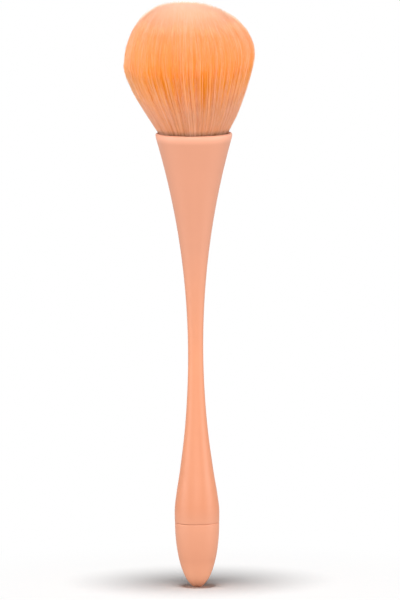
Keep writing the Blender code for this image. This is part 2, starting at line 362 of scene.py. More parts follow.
def turned(name, outline, sides):
    """A closed solid of revolution about Z. The outline runs from the axis to the axis."""
    verts, rings = [], []
    for radius, height in outline:
        if radius == 0:
            rings.append([len(verts)] * sides)
            verts.append((0, 0, height))
            continue
        ring = []
        for i in range(sides):
            angle = math.tau * i / sides
            ring.append(len(verts))
            verts.append((radius * math.cos(angle), radius * math.sin(angle), height))
        rings.append(ring)
    faces = []
    for low, high in zip(rings[:-1], rings[1:]):
        for i in range(sides):
            j = (i + 1) % sides
            corners = []
            for corner in (low[i], low[j], high[j], high[i]):
                if corner not in corners:
                    corners.append(corner)
            faces.append(corners)
    mesh = bpy.data.meshes.new(name)
    mesh.from_pydata(verts, [], faces)
    mesh.validate()
    mesh.shade_smooth()
    mesh.set_sharp_from_angle(angle=SHARP_FROM)
    return placed(name, mesh)


def finished(obj, finish, slot, *nodes):
    """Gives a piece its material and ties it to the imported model."""
    obj.data.materials.clear()
    obj.data.materials.append(finish)
    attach(obj, BODY)
    if nodes:
        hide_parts(*nodes)
    return obj


# Settings


def length(default, description, least=0):
    return FloatProperty(
        description=description, default=default, min=least, subtype="DISTANCE", unit="LENGTH", precision=5
    )


def colour(default, description):
    return FloatVectorProperty(
        description=description, default=(*default, 1), size=4, min=0, max=1, subtype="COLOR"
    )


def factor(default, description, most=1):
    return FloatProperty(description=description, default=default, min=0, max=most)


def count(default, description, least=1):
    return IntProperty(description=description, default=default, min=least)


def angle(degrees, description):
    return FloatProperty(description=description, default=math.radians(degrees), subtype="ANGLE")


def watts(default, description):
    return FloatProperty(description=description, default=default, min=0, unit="POWER")


def labelled(group):
    """Gives each setting of a group its own name in plain words as its label."""
    for name, setting in group.__annotations__.items():
        setting.keywords["name"] = name.replace("_", " ").capitalize()
    return group


@labelled
class HandleSettings(bpy.types.PropertyGroup):
    """Sizes and colours of the handle"""

    rim_radius: length(RIM_RADIUS, "Outside radius of the rounded lip")
    rim_wall: length(1.05 * MM, "Thickness of the wall at the rim")
    lip_height: length(1.5 * MM, "Height of the band that stands out below the rim")
    lip_step: length(0.128 * MM, "How far the band stands out of the flare")
    waist_radius: length(2.23 * MM, "Radius at the slimmest place")
    waist_height: length(69.2 * MM, "Height of the slimmest place above the tail's tip")
    tail_radius: length(6.54 * MM, "Radius at the tail's widest ring")
    tail_height: length(22.0 * MM, "Height of the tail's widest ring")
    seam_radius: length(6.48 * MM, "Radius at the seam with the tail cap")
    seam_height: length(SEAM_HEIGHT, "Height of the seam above the tail's tip")
    seam_gap: length(0.035 * MM, "Opening of the seam between handle and cap")
    seam_round: length(0.07 * MM, "Rounding of the handle's lower edge")
    flare_power: FloatProperty(description="How late the flare opens", default=2.03, min=1)
    socket_depth: length(13.0 * MM, "Depth of the tapered socket below the rim")
    socket_floor: length(6.5 * MM, "Radius of the socket's floor")
    shoulder: length(1.2 * MM, "Width of the shoulder round the socket's floor")
    upper_core: length(31.0 * MM, "Depth of the core below the socket")
    core_end: length(1.2 * MM, "Radius where each core ends")
    bore_radius: length(4.7 * MM, "Radius of the bore that takes the cap's spigot")
    bore_depth: length(6.3 * MM, "Depth of that bore")
    bore_step: length(0.5 * MM, "Step from the bore to the lower core")
    lower_core: length(26.0 * MM, "Height of the core above the bore")
    sides: count(128, "Steps round the handle", least=3)
    steps: count(72, "Steps along the flare, and along the taper", least=3)
    # Painted light: the handle just above the seam is lighter, to offset the shade in the seam.
    seam_painted_light_colour: colour((0.63, 0.262, 0.15), "Colour just above the seam")
    tail_colour: colour((0.6, 0.224, 0.111), "Colour of the plastic at the tail")
    # Painted highlight: the waist is lighter than the rest of the handle.
    waist_painted_light_colour: colour((0.695, 0.269, 0.136), "Colour of the plastic at the waist")
    cone_colour: colour((0.605, 0.259, 0.154), "Colour of the plastic along the flare")
    # Painted highlight: the band just below the rim is lighter, where light catches the lip.
    rim_highlight_colour: colour((0.76, 0.35, 0.225), "Colour of the plastic at the thin rim")
    roughness: factor(0.5, "How dull the satin is")


@labelled
class CapSettings(bpy.types.PropertyGroup):
    """Sizes and colours of the tail cap"""

    edge_round: length(0.3 * MM, "Rounding of the cap's upper edge")
    spigot_height: length(CAP_SPIGOT_TOP - SEAM_HEIGHT, "How far the spigot goes in")
    spigot_gap: length(0.3 * MM, "Gap between the spigot and the bore")
    spigot_chamfer: length(0.4 * MM, "Chamfer at the spigot's top")
    wall: length(1.6 * MM, "Thickness of the spigot's wall")
    floor: length(5.0 * MM, "Solid plastic above the tail's tip")
    tip_flat: length(1.0 * MM, "Radius of the flat left on the tip by the mould")
    dimple_radius: length(0.6 * MM, "Radius of the small hollow in that flat")
    dimple_floor: length(0.35 * MM, "Radius of the hollow's floor")
    dimple: length(0.25 * MM, "Depth of the hollow")
    steps: count(64, "Steps along the cap's outside", least=3)
    base_colour: colour((0.65, 0.27, 0.152), "Colour of the cap's plastic")
    # Painted light: the cap is lighter near its tip, where its underside is in shade.
    cap_tip_painted_light_colour: colour((0.78, 0.35, 0.205), "Colour of the cap's plastic near its tip")
    roughness: factor(0.5, "How dull the satin is")


@labelled
class TuftSettings(bpy.types.PropertyGroup):
    """Sizes and colours of the tuft of bristles"""

    strands: count(36000, "Strands in the whole tuft")
    rings: count(9, "Pieces that the tuft is made in, from the core out")
    inner_steps: count(5, "Steps along each strand of the core")
    outer_steps: count(8, "Steps along each outer strand")
    foot_height: length(KNOT_BASE + 1.4 * MM, "Where the strands leave their resin slice")
    foot_radius: length(8.1 * MM, "Radius of the bundle at the feet")
    widest_height: length(154.6 * MM, "Height of the tuft's widest ring")
    tuft_radius: length(19.35 * MM, "Radius at the widest ring")
    dome_height: length(19.1 * MM, "Height of the dome over the widest ring")
    lean: length(2.3 * MM, "How far the tuft leans to -X at most")
    top_tilt: length(0.7 * MM, "How much lower the dome's +X side is brushed")
    edge_turn: length(2.0 * MM, "How much higher than its middle the widest ring's +X side is")
    strand_radius: length(0.125 * MM, "Radius of one strand at the widest ring")
    tip_scatter: length(0.6 * MM, "How unevenly the tips are cut")
    locks: factor(0.014, "How strongly strands gather in locks")
    fine_locks: factor(0.016, "The same, for small locks")
    stray: factor(0.018, "How far single strands stray")
    overgrowth: factor(0.6, "How far strands grow on along the dome", most=0.9)
    shell: length(0.7 * MM, "Depth of the loose strands' layer on the dome")
    taper: length(6.0 * MM, "Length over which each strand thins to its tip")
    pale_tip: length(3.0 * MM, "Length over which each strand pales to its tip")
    loose_pale_tip: length(16.0 * MM, "The same for the loose strands")
    loose_share: factor(0.047, "Share of loose outer strands")
    loose_depth: factor(0.06, "Depth of their layer against the radius")
    seed: IntProperty(description="Seed of everything random in the tuft", default=11)
    gloss: factor(0.6, "Soft gloss of the tips")
    softness: factor(0.55, "How far the light on the tuft follows its form")
    # Painted shade: a dark colour at the strands' feet, just above the rim.
    foot_painted_shade_colour: colour((0.4, 0.11, 0.02), "Colour between the strands inside the rim")
    foot_colour: colour((0.98, 0.43, 0.15), "Colour of the strands just above the rim")
    lower_colour: colour((0.86, 0.3, 0.012), "Colour between the feet and the widest ring")
    middle_colour: colour((0.88, 0.295, 0.009), "Colour below the widest ring")
    rising_colour: colour((0.97, 0.322, 0.07), "Colour where the dome begins")
    upper_colour: colour((0.98, 0.29, 0.083), "Colour half-way up the dome")
    # Partly painted highlight: the dome's shoulder and top are paler both from the fibre's paler tips and
    # from painted light.
    shoulder_pale_and_highlight_colour: colour((0.98, 0.46, 0.265), "Colour near the dome's top")
    top_pale_and_highlight_colour: colour((0.99, 0.55, 0.45), "Colour at the dome's top")
    # Partly painted sheen: the loose strands are paler so that the tuft's edges look pale.
    loose_pale_and_sheen_colour: colour((0.98, 0.61, 0.46), "Colour of the loose outer strands")
    # Partly painted shade: these tints darken the darkest strands, which stand in for shade between locks as
    # well as differing at random.
    deep_tint: colour((0.76, 0.5, 0.24), "What the darkest strands are dyed by low down")
    streak_tint: colour((0.95, 0.66, 0.3), "What they are dyed by higher up")


@labelled
class StageSettings(bpy.types.PropertyGroup):
    """Camera, lamps and floor"""

    elevation: angle(6.5, "Camera above level")
    roll: angle(0.48, "Camera tilt")
    distance: length(4.0, "From the camera to the brush")
    view_height: length(175.3 * MM, "Height that the image shows at the brush")
    aim_height: length(84.4 * MM, "Height in the middle of the image")
    aim_side: length(1.4 * MM, "How far the image's middle is to the brush's +X side")
    lamp_height: length(3.0, "Height of the lamp over the brush")
    lamp_front: length(0.2, "How far that lamp is to the front")
    lamp_side: length(-0.03, "How far that lamp is to the brush's +X side", least=-1)
    lamp_width: length(0.8, "Width of that lamp")
    lamp_depth: length(0.75, "Depth of that lamp, front to back")
    lamp_level: watts(55.0, "Power of that lamp")
    floor_level: watts(80.0, "Power of the floor's lamp")
    front_level: watts(8.0, "Power of the front lamp")
    left_level: watts(5.7, "Power of the left lamp")
    right_level: watts(6.0, "Power of the right lamp")
    world_level: factor(0.1, "Strength of the even light")
    floor_radius: length(3.0, "Radius of the floor")
    white_radius: length(0.1, "Where the floor has become plain white")


# Pieces

RIM_STEPS, BAND_STEPS = 20, 8  # round the rim, and down its band
TAIL_STEPS, EDGE_STEPS = 8, 6  # below the widest ring, and round the handle's lower edge
CAP_EDGE_STEPS = 10  # round the cap's upper edge
KNOT_SIDES = 64  # steps round the resin slice
SLICE_NARROWING = 0.96  # the slice's lower radius against its upper one
RESIN_COLOUR, ADHESIVE_COLOUR = (0.78, 0.52, 0.26), (0.86, 0.82, 0.70)
FERRULE_COLOUR = (0.85, 0.80, 0.70, 1)


class BRUSH_OT_handle(bpy.types.Operator):
    """Turn the moulded handle, from the rounded rim to the seam"""

    bl_idname = "brush.handle"
    bl_label = "Handle"

    def execute(self, context):
        s = context.scene.brush_handle
        floor = HANDLE_TOP - s.socket_depth
        end = s.seam_height + s.seam_gap
        bore_roof = s.seam_height + s.bore_depth
        outline = [
            (0, floor - s.upper_core),
            (s.core_end, floor - s.upper_core),
            (s.socket_floor - s.shoulder, floor),
            (s.socket_floor, floor),
        ]
        outline += self.lip(s)
        outline += self.flare(s)
        outline += self.taper(s)
        edge = (s.seam_radius - s.seam_round, end + s.seam_round)
        outline += arc(edge, s.seam_round, 0, -math.pi / 2, EDGE_STEPS)
        outline += [
            (s.bore_radius, end),
            (s.bore_radius, bore_roof),
            (s.bore_radius - s.bore_step, bore_roof),
            (s.core_end, bore_roof + s.lower_core),
            (0, bore_roof + s.lower_core),
        ]
        obj = turned("handle", outline[::-1], s.sides)
        finish = moulded_plastic("peach_satin_plastic", colour_stops(s, HANDLE_COLOUR_SHARES), s.roughness)
        finished(obj, finish, "handle_plastic", "handle_shell")
        return {"FINISHED"}

    @staticmethod
    def lip(s):
        """Over the rim and down its band."""
        radius = s.rim_wall / 2
        centre = (s.rim_radius - radius, HANDLE_TOP - radius)
        points = arc(centre, radius, math.pi, 0, RIM_STEPS)
        low = HANDLE_TOP - s.lip_height
        for i in range(1, BAND_STEPS):
            t = i / BAND_STEPS
            points.append((s.rim_radius - s.lip_step * t * t, centre[1] + (low - centre[1]) * t))
        return points

    @staticmethod
    def flare(s):
        """Down from the band to the waist."""
        top = HANDLE_TOP - s.lip_height
        top_radius = s.rim_radius - s.lip_step
        points = []
        for i in range(s.steps):
            share = 1 - i / s.steps
            radius = s.waist_radius + (top_radius - s.waist_radius) * share**s.flare_power
            points.append((radius, s.waist_height + share * (top - s.waist_height)))
        return points

    @staticmethod
    def taper(s):
        """Down from the waist to the widest ring, and from there to the seam."""
        points = []
        for place, share in reversed(smooth_steps(TAPER_SHARES, s.steps)):
            radius = s.waist_radius + share * (s.tail_radius - s.waist_radius)
            points.append((radius, s.tail_height + place * (s.waist_height - s.tail_height)))
        drop = s.tail_radius - s.seam_radius
        for i in range(1, TAIL_STEPS):
            t = i / TAIL_STEPS
            points.append((s.tail_radius - drop * t * t, s.tail_height - (s.tail_height - s.seam_height) * t))
        return points


class BRUSH_OT_cap(bpy.types.Operator):
    """Turn the tail cap: half an ellipsoid with a hollow spigot and a small flat at its tip"""

    bl_idname = "brush.cap"
    bl_label = "Tail cap"

    def execute(self, context):
        h, s = context.scene.brush_handle, context.scene.brush_cap
        spigot = h.bore_radius - s.spigot_gap
        hollow = spigot - s.wall
        top = h.seam_height + s.spigot_height
        outline = [
            (0, s.floor),
            (hollow / 2, s.floor),
            (hollow, s.floor + hollow / 2),
            (hollow, top),
            (spigot - s.spigot_chamfer, top),
            (spigot, top - s.spigot_chamfer),
            (spigot, h.seam_height),
        ]
        outline += self.outside(h, s)
        outline += [(s.dimple_radius, 0), (s.dimple_floor, s.dimple), (0, s.dimple)]
        obj = turned("tail_end_cap", outline[::-1], h.sides)
        finish = moulded_plastic("peach_satin_cap_plastic", colour_stops(s, CAP_COLOUR_SHARES), s.roughness)
        finished(obj, finish, "cap_plastic", "tail_cap")
        return {"FINISHED"}

    @staticmethod
    def outside(h, s):
        """From the rounded upper edge down to the flat at the tip."""
        last = math.acos(s.tip_flat / h.seam_radius)
        depth = h.seam_height / math.sin(last)
        first = math.asin(s.edge_round / depth)
        centre = (h.seam_radius - s.edge_round, h.seam_height - s.edge_round)
        points = arc(centre, s.edge_round, math.pi / 2, 0, CAP_EDGE_STEPS)[:-1]
        for i in range(s.steps + 1):
            angle = first + (last - first) * i / s.steps
            points.append((h.seam_radius * math.cos(angle), h.seam_height - depth * math.sin(angle)))
        return points


class BRUSH_OT_knot(bpy.types.Operator):
    """Finish what holds the bristles inside the socket: slice, plug, ferrule and adhesive"""

    bl_idname = "brush.knot"
    bl_label = "Knot"

    def execute(self, context):
        tuft = context.scene.brush_tuft
        outline = [
            (0, KNOT_BASE),
            (tuft.foot_radius * SLICE_NARROWING, KNOT_BASE),
            (tuft.foot_radius, tuft.foot_height),
            (0, tuft.foot_height),
        ]
        slice_ = turned("bristle_root_slice", outline, KNOT_SIDES)
        resin = cast_resin("amber_root_resin", RESIN_COLOUR, roughness=0.3)
        finished(slice_, resin, "root_resin")
        finishes = {
            "root_plug": resin,
            "glue_bed": cast_resin("hardened_adhesive", ADHESIVE_COLOUR, roughness=0.22),
            "knot_ferrule": moulded_plastic("ivory_ferrule_plastic", [(0, FERRULE_COLOUR)], roughness=0.45),
        }
        for node, finish in finishes.items():
            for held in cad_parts[node].material_slots:
                held.material = finish
        return {"FINISHED"}


class BRUSH_OT_bristles(bpy.types.Operator):
    """Grow the tuft, ring by ring from the core out, with Geometry Nodes"""

    bl_idname = "brush.bristles"
    bl_label = "Bristles"

    def execute(self, context):
        s = context.scene.brush_tuft
        finish = bristle_fibre("soft_orange_fibre", s)
        group = StrandTree(s).nodes
        each = s.strands // s.rings
        for ring in range(s.rings):
            inner = ring < s.rings // 2
            counts = {
                "First Strand": ring * each,
                "Strands Here": each,
                "All Strands": s.strands,
                "Steps": s.inner_steps if inner else s.outer_steps,
                "Seed": s.seed,
            }
            obj = self.grown(f"bristles_{ring + 1}", group, s, counts, finish)
            finished(obj, finish, "bristles", "bristle_knot")
        return {"FINISHED"}

    @staticmethod
    def grown(name, group, s, counts, finish):
        """One ring of strands as a plain mesh."""
        obj = placed(name, bpy.data.meshes.new(name))
        modifier = obj.modifiers.new("Strands", "NODES")
        modifier.node_group = group
        chosen = {socket: getattr(s, socket.lower().replace(" ", "_")) for socket in SIZE_INPUTS}
        chosen.update(counts)
        chosen["Finish"] = finish
        for item in group.interface.items_tree:
            if item.in_out == "INPUT":
                modifier[item.identifier] = chosen[item.name]
        bpy.context.view_layer.update()
        graph = bpy.context.evaluated_depsgraph_get()
        mesh = bpy.data.meshes.new_from_object(obj.evaluated_get(graph))
        obj.modifiers.clear()
        empty, obj.data = obj.data, mesh
        bpy.data.meshes.remove(empty)
        mesh.name = name
        if len(mesh.polygons) == 0:
            raise RuntimeError(f"{name} came out empty")
        return obj


# Strands

COUNT_INPUTS = ("First Strand", "Strands Here", "All Strands", "Steps", "Seed")
SIZE_INPUTS = (  # each is the tuft's setting of the same name
    "Foot Height", "Foot Radius", "Widest Height", "Tuft Radius", "Dome Height", "Lean", "Top Tilt",
    "Edge Turn", "Strand Radius", "Tip Scatter", "Locks", "Fine Locks", "Stray", "Overgrowth", "Shell",
    "Taper", "Pale Tip", "Loose Pale Tip", "Loose Share", "Loose Depth", "Softness",
)
GOLDEN_TURN = (3 - math.sqrt(5)) / 2  # from each strand's foot to the next, as a share of a full turn
ANGLE_BLOCK = 256  # strands are counted in blocks, so that their angles stay exact
STRAND_SIDES = 3
# Shares of a strand's steps, and how far along the strand they end: closer at its foot and its tip
STEP_SHARES = (
    (0, 0), (0.125, 0.1), (0.25, 0.24), (0.375, 0.4), (0.5, 0.57),
    (0.625, 0.73), (0.75, 0.84), (0.875, 0.93), (1, 1),
)
LEAST = 0.0001  # keeps a division away from zero
LOOSE_FROM = 0.001  # how far into the loose share a strand is that counts as loose

FAN_END = 0.765  # share of the height to the widest ring, from where on the strands fan out straight
FAN_SLOPE = 0.84  # how fast they fan out there
FAN_TOP, FAN_STEPS = 1.8, 20  # where the curve of the fan ends, and its steps
# Heights at which strands are cut: 1 is at the widest ring and 2 at the dome's top
CUT_SHARES = (2, 1.97, 1.93, 1.86, 1.76, 1.64, 1.5, 1.35, 1.2, 1.08, 1, 0.94, 0.88, 0.82, FAN_END)
DOME_POWER = 0.52  # how boldly the dome is rounded
BEND_LENGTH = 1.2 * MM  # how softly a strand bends into the outline
SLOPE_STEP = 0.3 * MM  # the height over which a strand's slope is taken

WIDE_LOCKS, FINE_LOCKS = 13, 36  # about how many there are from the bundle's middle to its edge
LOCK_SLICE = 0.37  # where the locks' noise is sliced
OVERGROWTH_POWER = 2  # how rarely a strand grows on far
LOOSE_POWER_DROP = 1.4  # how much less rarely a loose one does
LOOSE_EXTRA = 0.5  # how much farther a loose one does
SUNK_SCATTER = 0.03  # how far inside the outline a strand runs at most, as a share of the radius
LOOSE_THINNING = 0.85  # how much thinner loose strands are
POINT_SHARE = 0.3  # a strand's radius just before its tip

# Lock tones feed the darkest and the brightest strands: partly random tone, partly painted shade between
# locks and painted highlight; dark streaks are partly painted shade.
STRAND_TONE, WIDE_TONE, FINE_TONE = 0.25, 0.2, 1.8  # how much strands and locks differ in shade
STREAK_FROM, STREAK_DEPTH = -0.15, 3  # which wide locks are dark streaks, and how dark
SIDE_TONE = 0.03  # how much one side of a strand differs from the other
# Loose strands below the widest ring turn pale: partly painted sheen at the tuft's edges.
TIP_PALENESS, LOOSE_PALENESS = 0.6, 0.9  # how pale tips are, and loose strands below the widest ring
FAN_SCATTER = (-0.5, 1.0)  # how unevenly loose strands turn pale there
RIM_PALENESS = 0.5  # how much of that they have at their feet
MAP_MARGIN = 0.01  # kept free at the map's lower and upper ends
SOFT_LENGTH = 10 * MM  # height over which the light on the strands turns to the tuft's form
SOFT_START = 1.6  # how many of these lengths below the widest ring that begins


def between(table, place):
    """The value of a table at a place."""
    for (start, low), (end, high) in zip(table[:-1], table[1:]):
        if place <= end:
            return low + (high - low) * (place - start) / (end - start)
    return table[-1][1]


def fan_spread(place):
    """How far uncut strands have fanned out, where 1 is the tuft's spread at its widest ring."""
    if place < FAN_END:
        return between(SPREAD_SHARES, place)
    return between(SPREAD_SHARES, FAN_END) + FAN_SLOPE * (place - FAN_END)


def fan_places():
    """The fan's spread as a curve, with heights and spreads as shares of FAN_TOP."""
    return [(i / FAN_STEPS, fan_spread(i / FAN_STEPS * FAN_TOP) / FAN_TOP) for i in range(FAN_STEPS + 1)]


def cut_places(tuft):
    """Half the heights of CUT_SHARES, by the reach of the strands that meet the outline there."""
    spread = tuft.tuft_radius - tuft.foot_radius
    dome_share = tuft.dome_height / (tuft.widest_height - tuft.foot_height)
    places = []
    for place in CUT_SHARES:
        up = max(place - 1, 0)
        if up:
            outline = tuft.tuft_radius * math.sqrt(1 - up ** (1 / DOME_POWER))
        else:
            outline = tuft.foot_radius + spread * between(SPREAD_SHARES, place)
        fanned = tuft.foot_radius + spread * fan_spread(min(place, 1) + up * dome_share)
        places.append((outline / fanned, place / 2))
    return places


class StrandTree(Tree):
    """The node tree that makes one ring of strands. Each is a thin three-sided cone bent to its place."""

    # Sockets of the Random Value node's numbers and of the Mix node's vectors
    RANDOM_LOW, RANDOM_HIGH, RANDOM_STRAND, RANDOM_SEED, RANDOM_RESULT = 2, 3, 7, 8, 1
    FACING_OWN, FACING_FORM, FACING_RESULT = 4, 5, 1

    def __init__(self, tuft):
        super().__init__(bpy.data.node_groups.new("strands", "GeometryNodeTree"))
        kinds = {name: "NodeSocketInt" for name in COUNT_INPUTS}
        kinds |= {name: "NodeSocketFloat" for name in SIZE_INPUTS}
        kinds["Finish"] = "NodeSocketMaterial"
        for name, kind in kinds.items():
            self.nodes.interface.new_socket(name=name, in_out="INPUT", socket_type=kind)
        self.nodes.interface.new_socket(name="Strands", in_out="OUTPUT", socket_type="NodeSocketGeometry")
        given = {socket.name: socket for socket in self.add("NodeGroupInput").outputs}
        self.number = {name: Value(self, given[name]) for name in (*COUNT_INPUTS, *SIZE_INPUTS)}

        self.copy_cones()
        self.place_feet()
        self.sway()
        self.cut_tips(cut_places(tuft))
        self.bend()
        self.store_shade()
        self.soften_light()
        body = self.add("GeometryNodeSetMaterial", {"Geometry": self.body, "Material": given["Finish"]})
        self.add("NodeGroupOutput", {"Strands": body.outputs["Geometry"]})

    def curved(self, points, place):
        """The value of a curve at a place."""
        return self.value("ShaderNodeFloatCurve", {"Value": place}, curve=points)

    def vector(self, x, y, z):
        return self.add("ShaderNodeCombineXYZ", {"X": x, "Y": y, "Z": z}).outputs["Vector"]

    def axes(self, vector):
        apart = self.add("ShaderNodeSeparateXYZ", {"Vector": vector})
        return [Value(self, apart.outputs[axis]) for axis in "XYZ"]

    def unit(self, vector):
        """The same direction, one long."""
        return self.add("ShaderNodeVectorMath", {0: vector}, operation="NORMALIZE").outputs["Vector"]

    def chance(self, low, high, draw):
        """A random number for each strand. The draw tells its different ones apart."""
        inputs = {
            self.RANDOM_LOW: low,
            self.RANDOM_HIGH: high,
            self.RANDOM_STRAND: self.strand,
            self.RANDOM_SEED: self.number["Seed"] + draw,
        }
        return self.value("FunctionNodeRandomValue", inputs, self.RANDOM_RESULT, data_type="FLOAT")

    def kept(self, body, domain, kind, value):
        """A body on which a value is kept, and the kept value."""
        node = self.add("GeometryNodeCaptureAttribute", domain=domain)
        node.capture_items.new(kind, "kept")
        self.feed(node.inputs["Geometry"], body)
        self.feed(node.inputs["kept"], value)
        return node.outputs["Geometry"], node.outputs["kept"]

    def copy_cones(self):
        """An upright cone for each strand, whose points keep their first place and the strand's number."""
        number = self.number
        inputs = {
            "Vertices": STRAND_SIDES,
            "Side Segments": number["Steps"],
            "Radius Top": 0,
            "Radius Bottom": 1,
            "Depth": 1,
        }
        cone = self.add("GeometryNodeMeshCone", inputs, fill_type="NGON").outputs["Mesh"]
        place = self.add("GeometryNodeInputPosition").outputs["Position"]
        cone, first_place = self.kept(cone, "POINT", "VECTOR", place)
        points = self.add("GeometryNodePoints", {"Count": number["Strands Here"]}).outputs["Points"]
        inputs = {"Points": points, "Instance": cone}
        copies = self.add("GeometryNodeInstanceOnPoints", inputs).outputs["Instances"]
        index = self.add("GeometryNodeInputIndex").outputs["Index"]
        copies, strand = self.kept(copies, "INSTANCE", "INT", index)
        self.body = self.add("GeometryNodeRealizeInstances", {"Geometry": copies}).outputs["Geometry"]
        self.strand = Value(self, strand) + number["First Strand"]
        self.cone_x, self.cone_y, rise = self.axes(first_place)
        self.along = self.curved(STEP_SHARES, rise)
        self.thinning = (1 - rise).math("MAXIMUM", LEAST)

    def place_feet(self):
        """The feet fill the bundle evenly from its middle out. The last of them carry the loose strands."""
        number = self.number
        place_share = (self.strand + 0.5) / number["All Strands"]
        dense = (place_share / (1 - number["Loose Share"])).math("MINIMUM", 1).math("SQRT")
        outer = ((place_share - 1) / number["Loose Share"] + 1).clamped()
        self.loose = outer.math("GREATER_THAN", LOOSE_FROM)
        self.under = 1 - self.loose
        self.reach = dense * (1 - number["Loose Depth"]) + outer * number["Loose Depth"]
        blocks = (self.strand / ANGLE_BLOCK).math("FLOOR")
        rest = self.strand - blocks * ANGLE_BLOCK
        angle = (blocks * (GOLDEN_TURN * ANGLE_BLOCK % 1) + rest * GOLDEN_TURN) * math.tau
        self.foot_x = self.reach * angle.math("COSINE")
        self.foot_y = self.reach * angle.math("SINE")

    def gathered(self, locks, amount):
        """How far locks draw a strand aside, and how bright they are: smooth noise over the feet."""
        inputs = {"Vector": self.vector(self.foot_x, self.foot_y, LOCK_SLICE), "Scale": locks, "Detail": 0}
        noise = self.add("ShaderNodeTexNoise", inputs).outputs["Color"]
        shift_x, shift_y, tone = ((part - 0.5) * 2 for part in self.axes(noise))
        return shift_x * amount, shift_y * amount, tone

    def sway(self):
        """Strands gather in locks and stray, the farther the nearer to their tips."""
        number = self.number
        wide_x, wide_y, self.wide_tone = self.gathered(WIDE_LOCKS, number["Locks"])
        fine_x, fine_y, self.fine_tone = self.gathered(FINE_LOCKS, number["Fine Locks"])
        stray_x, stray_y = (self.chance(-1, 1, draw) * number["Stray"] for draw in (1, 2))
        free_x = self.foot_x + self.along * ((wide_x + fine_x) * self.under + stray_x)
        free_y = self.foot_y + self.along * ((wide_y + fine_y) * self.under + stray_y)
        reach = (free_x * free_x + free_y * free_y).math("SQRT").math("MAXIMUM", LEAST)
        self.out_x, self.out_y = free_x / reach, free_y / reach
        self.strand_reach = reach.math("MINIMUM", 1)

    def cut_tips(self, places):
        """Each strand's own widest height and dome, which turn with the side that it is on, and its tip."""
        number, foot_x = self.number, self.foot_x
        self.edge = number["Widest Height"] + number["Edge Turn"] * foot_x
        self.dome = number["Dome Height"] - number["Edge Turn"] * foot_x - number["Top Tilt"] * (1 + foot_x)
        self.below_edge = self.edge - number["Foot Height"]
        cut = self.curved(places, self.reach) * 2
        growth = self.chance(0, 1, 6) ** (OVERGROWTH_POWER - self.loose * LOOSE_POWER_DROP)
        tip = cut + (2 - cut) * number["Overgrowth"] * growth * (1 + self.loose * LOOSE_EXTRA)
        tip_rise = tip.math("MINIMUM", 1) * self.below_edge + (tip - 1).math("MAXIMUM", 0) * self.dome
        self.tip_rise = tip_rise - number["Tip Scatter"] * self.chance(0, 1, 3) - self.under * number["Shell"]
        self.height = number["Foot Height"] + self.along * self.tip_rise
        scatter = self.chance(0, SUNK_SCATTER, 7)
        self.sunk = 1 - scatter - self.under * number["Shell"] / number["Tuft Radius"]

    def path_radius(self, height):
        """The radius of the whole fan at a height, and the strand's own, which bends along the outline."""
        foot, opening = self.number["Foot Radius"], self.number["Tuft Radius"] - self.number["Foot Radius"]
        share = (height - self.number["Foot Height"]) / self.below_edge
        fanned = foot + opening * (self.curved(fan_places(), share / FAN_TOP) * FAN_TOP)
        outline = foot + opening * self.curved(SPREAD_SHARES, share.clamped())
        up = ((height - self.edge) / self.dome).clamped()
        outline = outline * (1 - up ** (1 / DOME_POWER)).math("SQRT") * self.sunk
        return fanned, (fanned * self.strand_reach).math("SMOOTH_MIN", outline, BEND_LENGTH)

    def bend(self):
        """Bends each cone along its strand's path, with its width across the path."""
        number = self.number
        radius, path = self.path_radius(self.height)
        slope = (path - self.path_radius(self.height - SLOPE_STEP)[1]) / SLOPE_STEP
        level = 1 / (1 + slope * slope).math("SQRT")
        whole = number["Widest Height"] + number["Dome Height"] - number["Foot Height"]
        self.height_share = ((self.height - number["Foot Height"]) / whole).clamped()
        self.lean = number["Lean"] * self.curved(LEAN_SHARES, self.height_share)

        self.to_tip = (1 - self.along) * self.tip_rise
        thick = number["Strand Radius"] * (1 - self.loose * LOOSE_THINNING)
        pointed = (self.to_tip / number["Taper"]).math("MINIMUM", 1) * (1 - POINT_SHARE) + POINT_SHARE
        width = thick * (radius / number["Tuft Radius"]).math("MINIMUM", 1) * pointed / self.thinning
        turn = self.chance(0, math.tau, 4)
        outward = width * (self.cone_x * turn.math("COSINE") - self.cone_y * turn.math("SINE"))
        sideways = width * (self.cone_x * turn.math("SINE") + self.cone_y * turn.math("COSINE"))
        reach_out = path + outward * level
        x = reach_out * self.out_x - sideways * self.out_y - self.lean
        y = reach_out * self.out_y + sideways * self.out_x
        z = self.height - outward * slope * level
        inputs = {"Geometry": self.body, "Position": self.vector(x, y, z)}
        self.body = self.add("GeometryNodeSetPosition", inputs).outputs["Geometry"]

    def store_shade(self):
        """Writes the map that the fibre's finish reads. Tips and loose strands are paler, the loose ones
        partly as painted sheen, and dark streaks in some locks are partly painted shade.
        """
        number = self.number
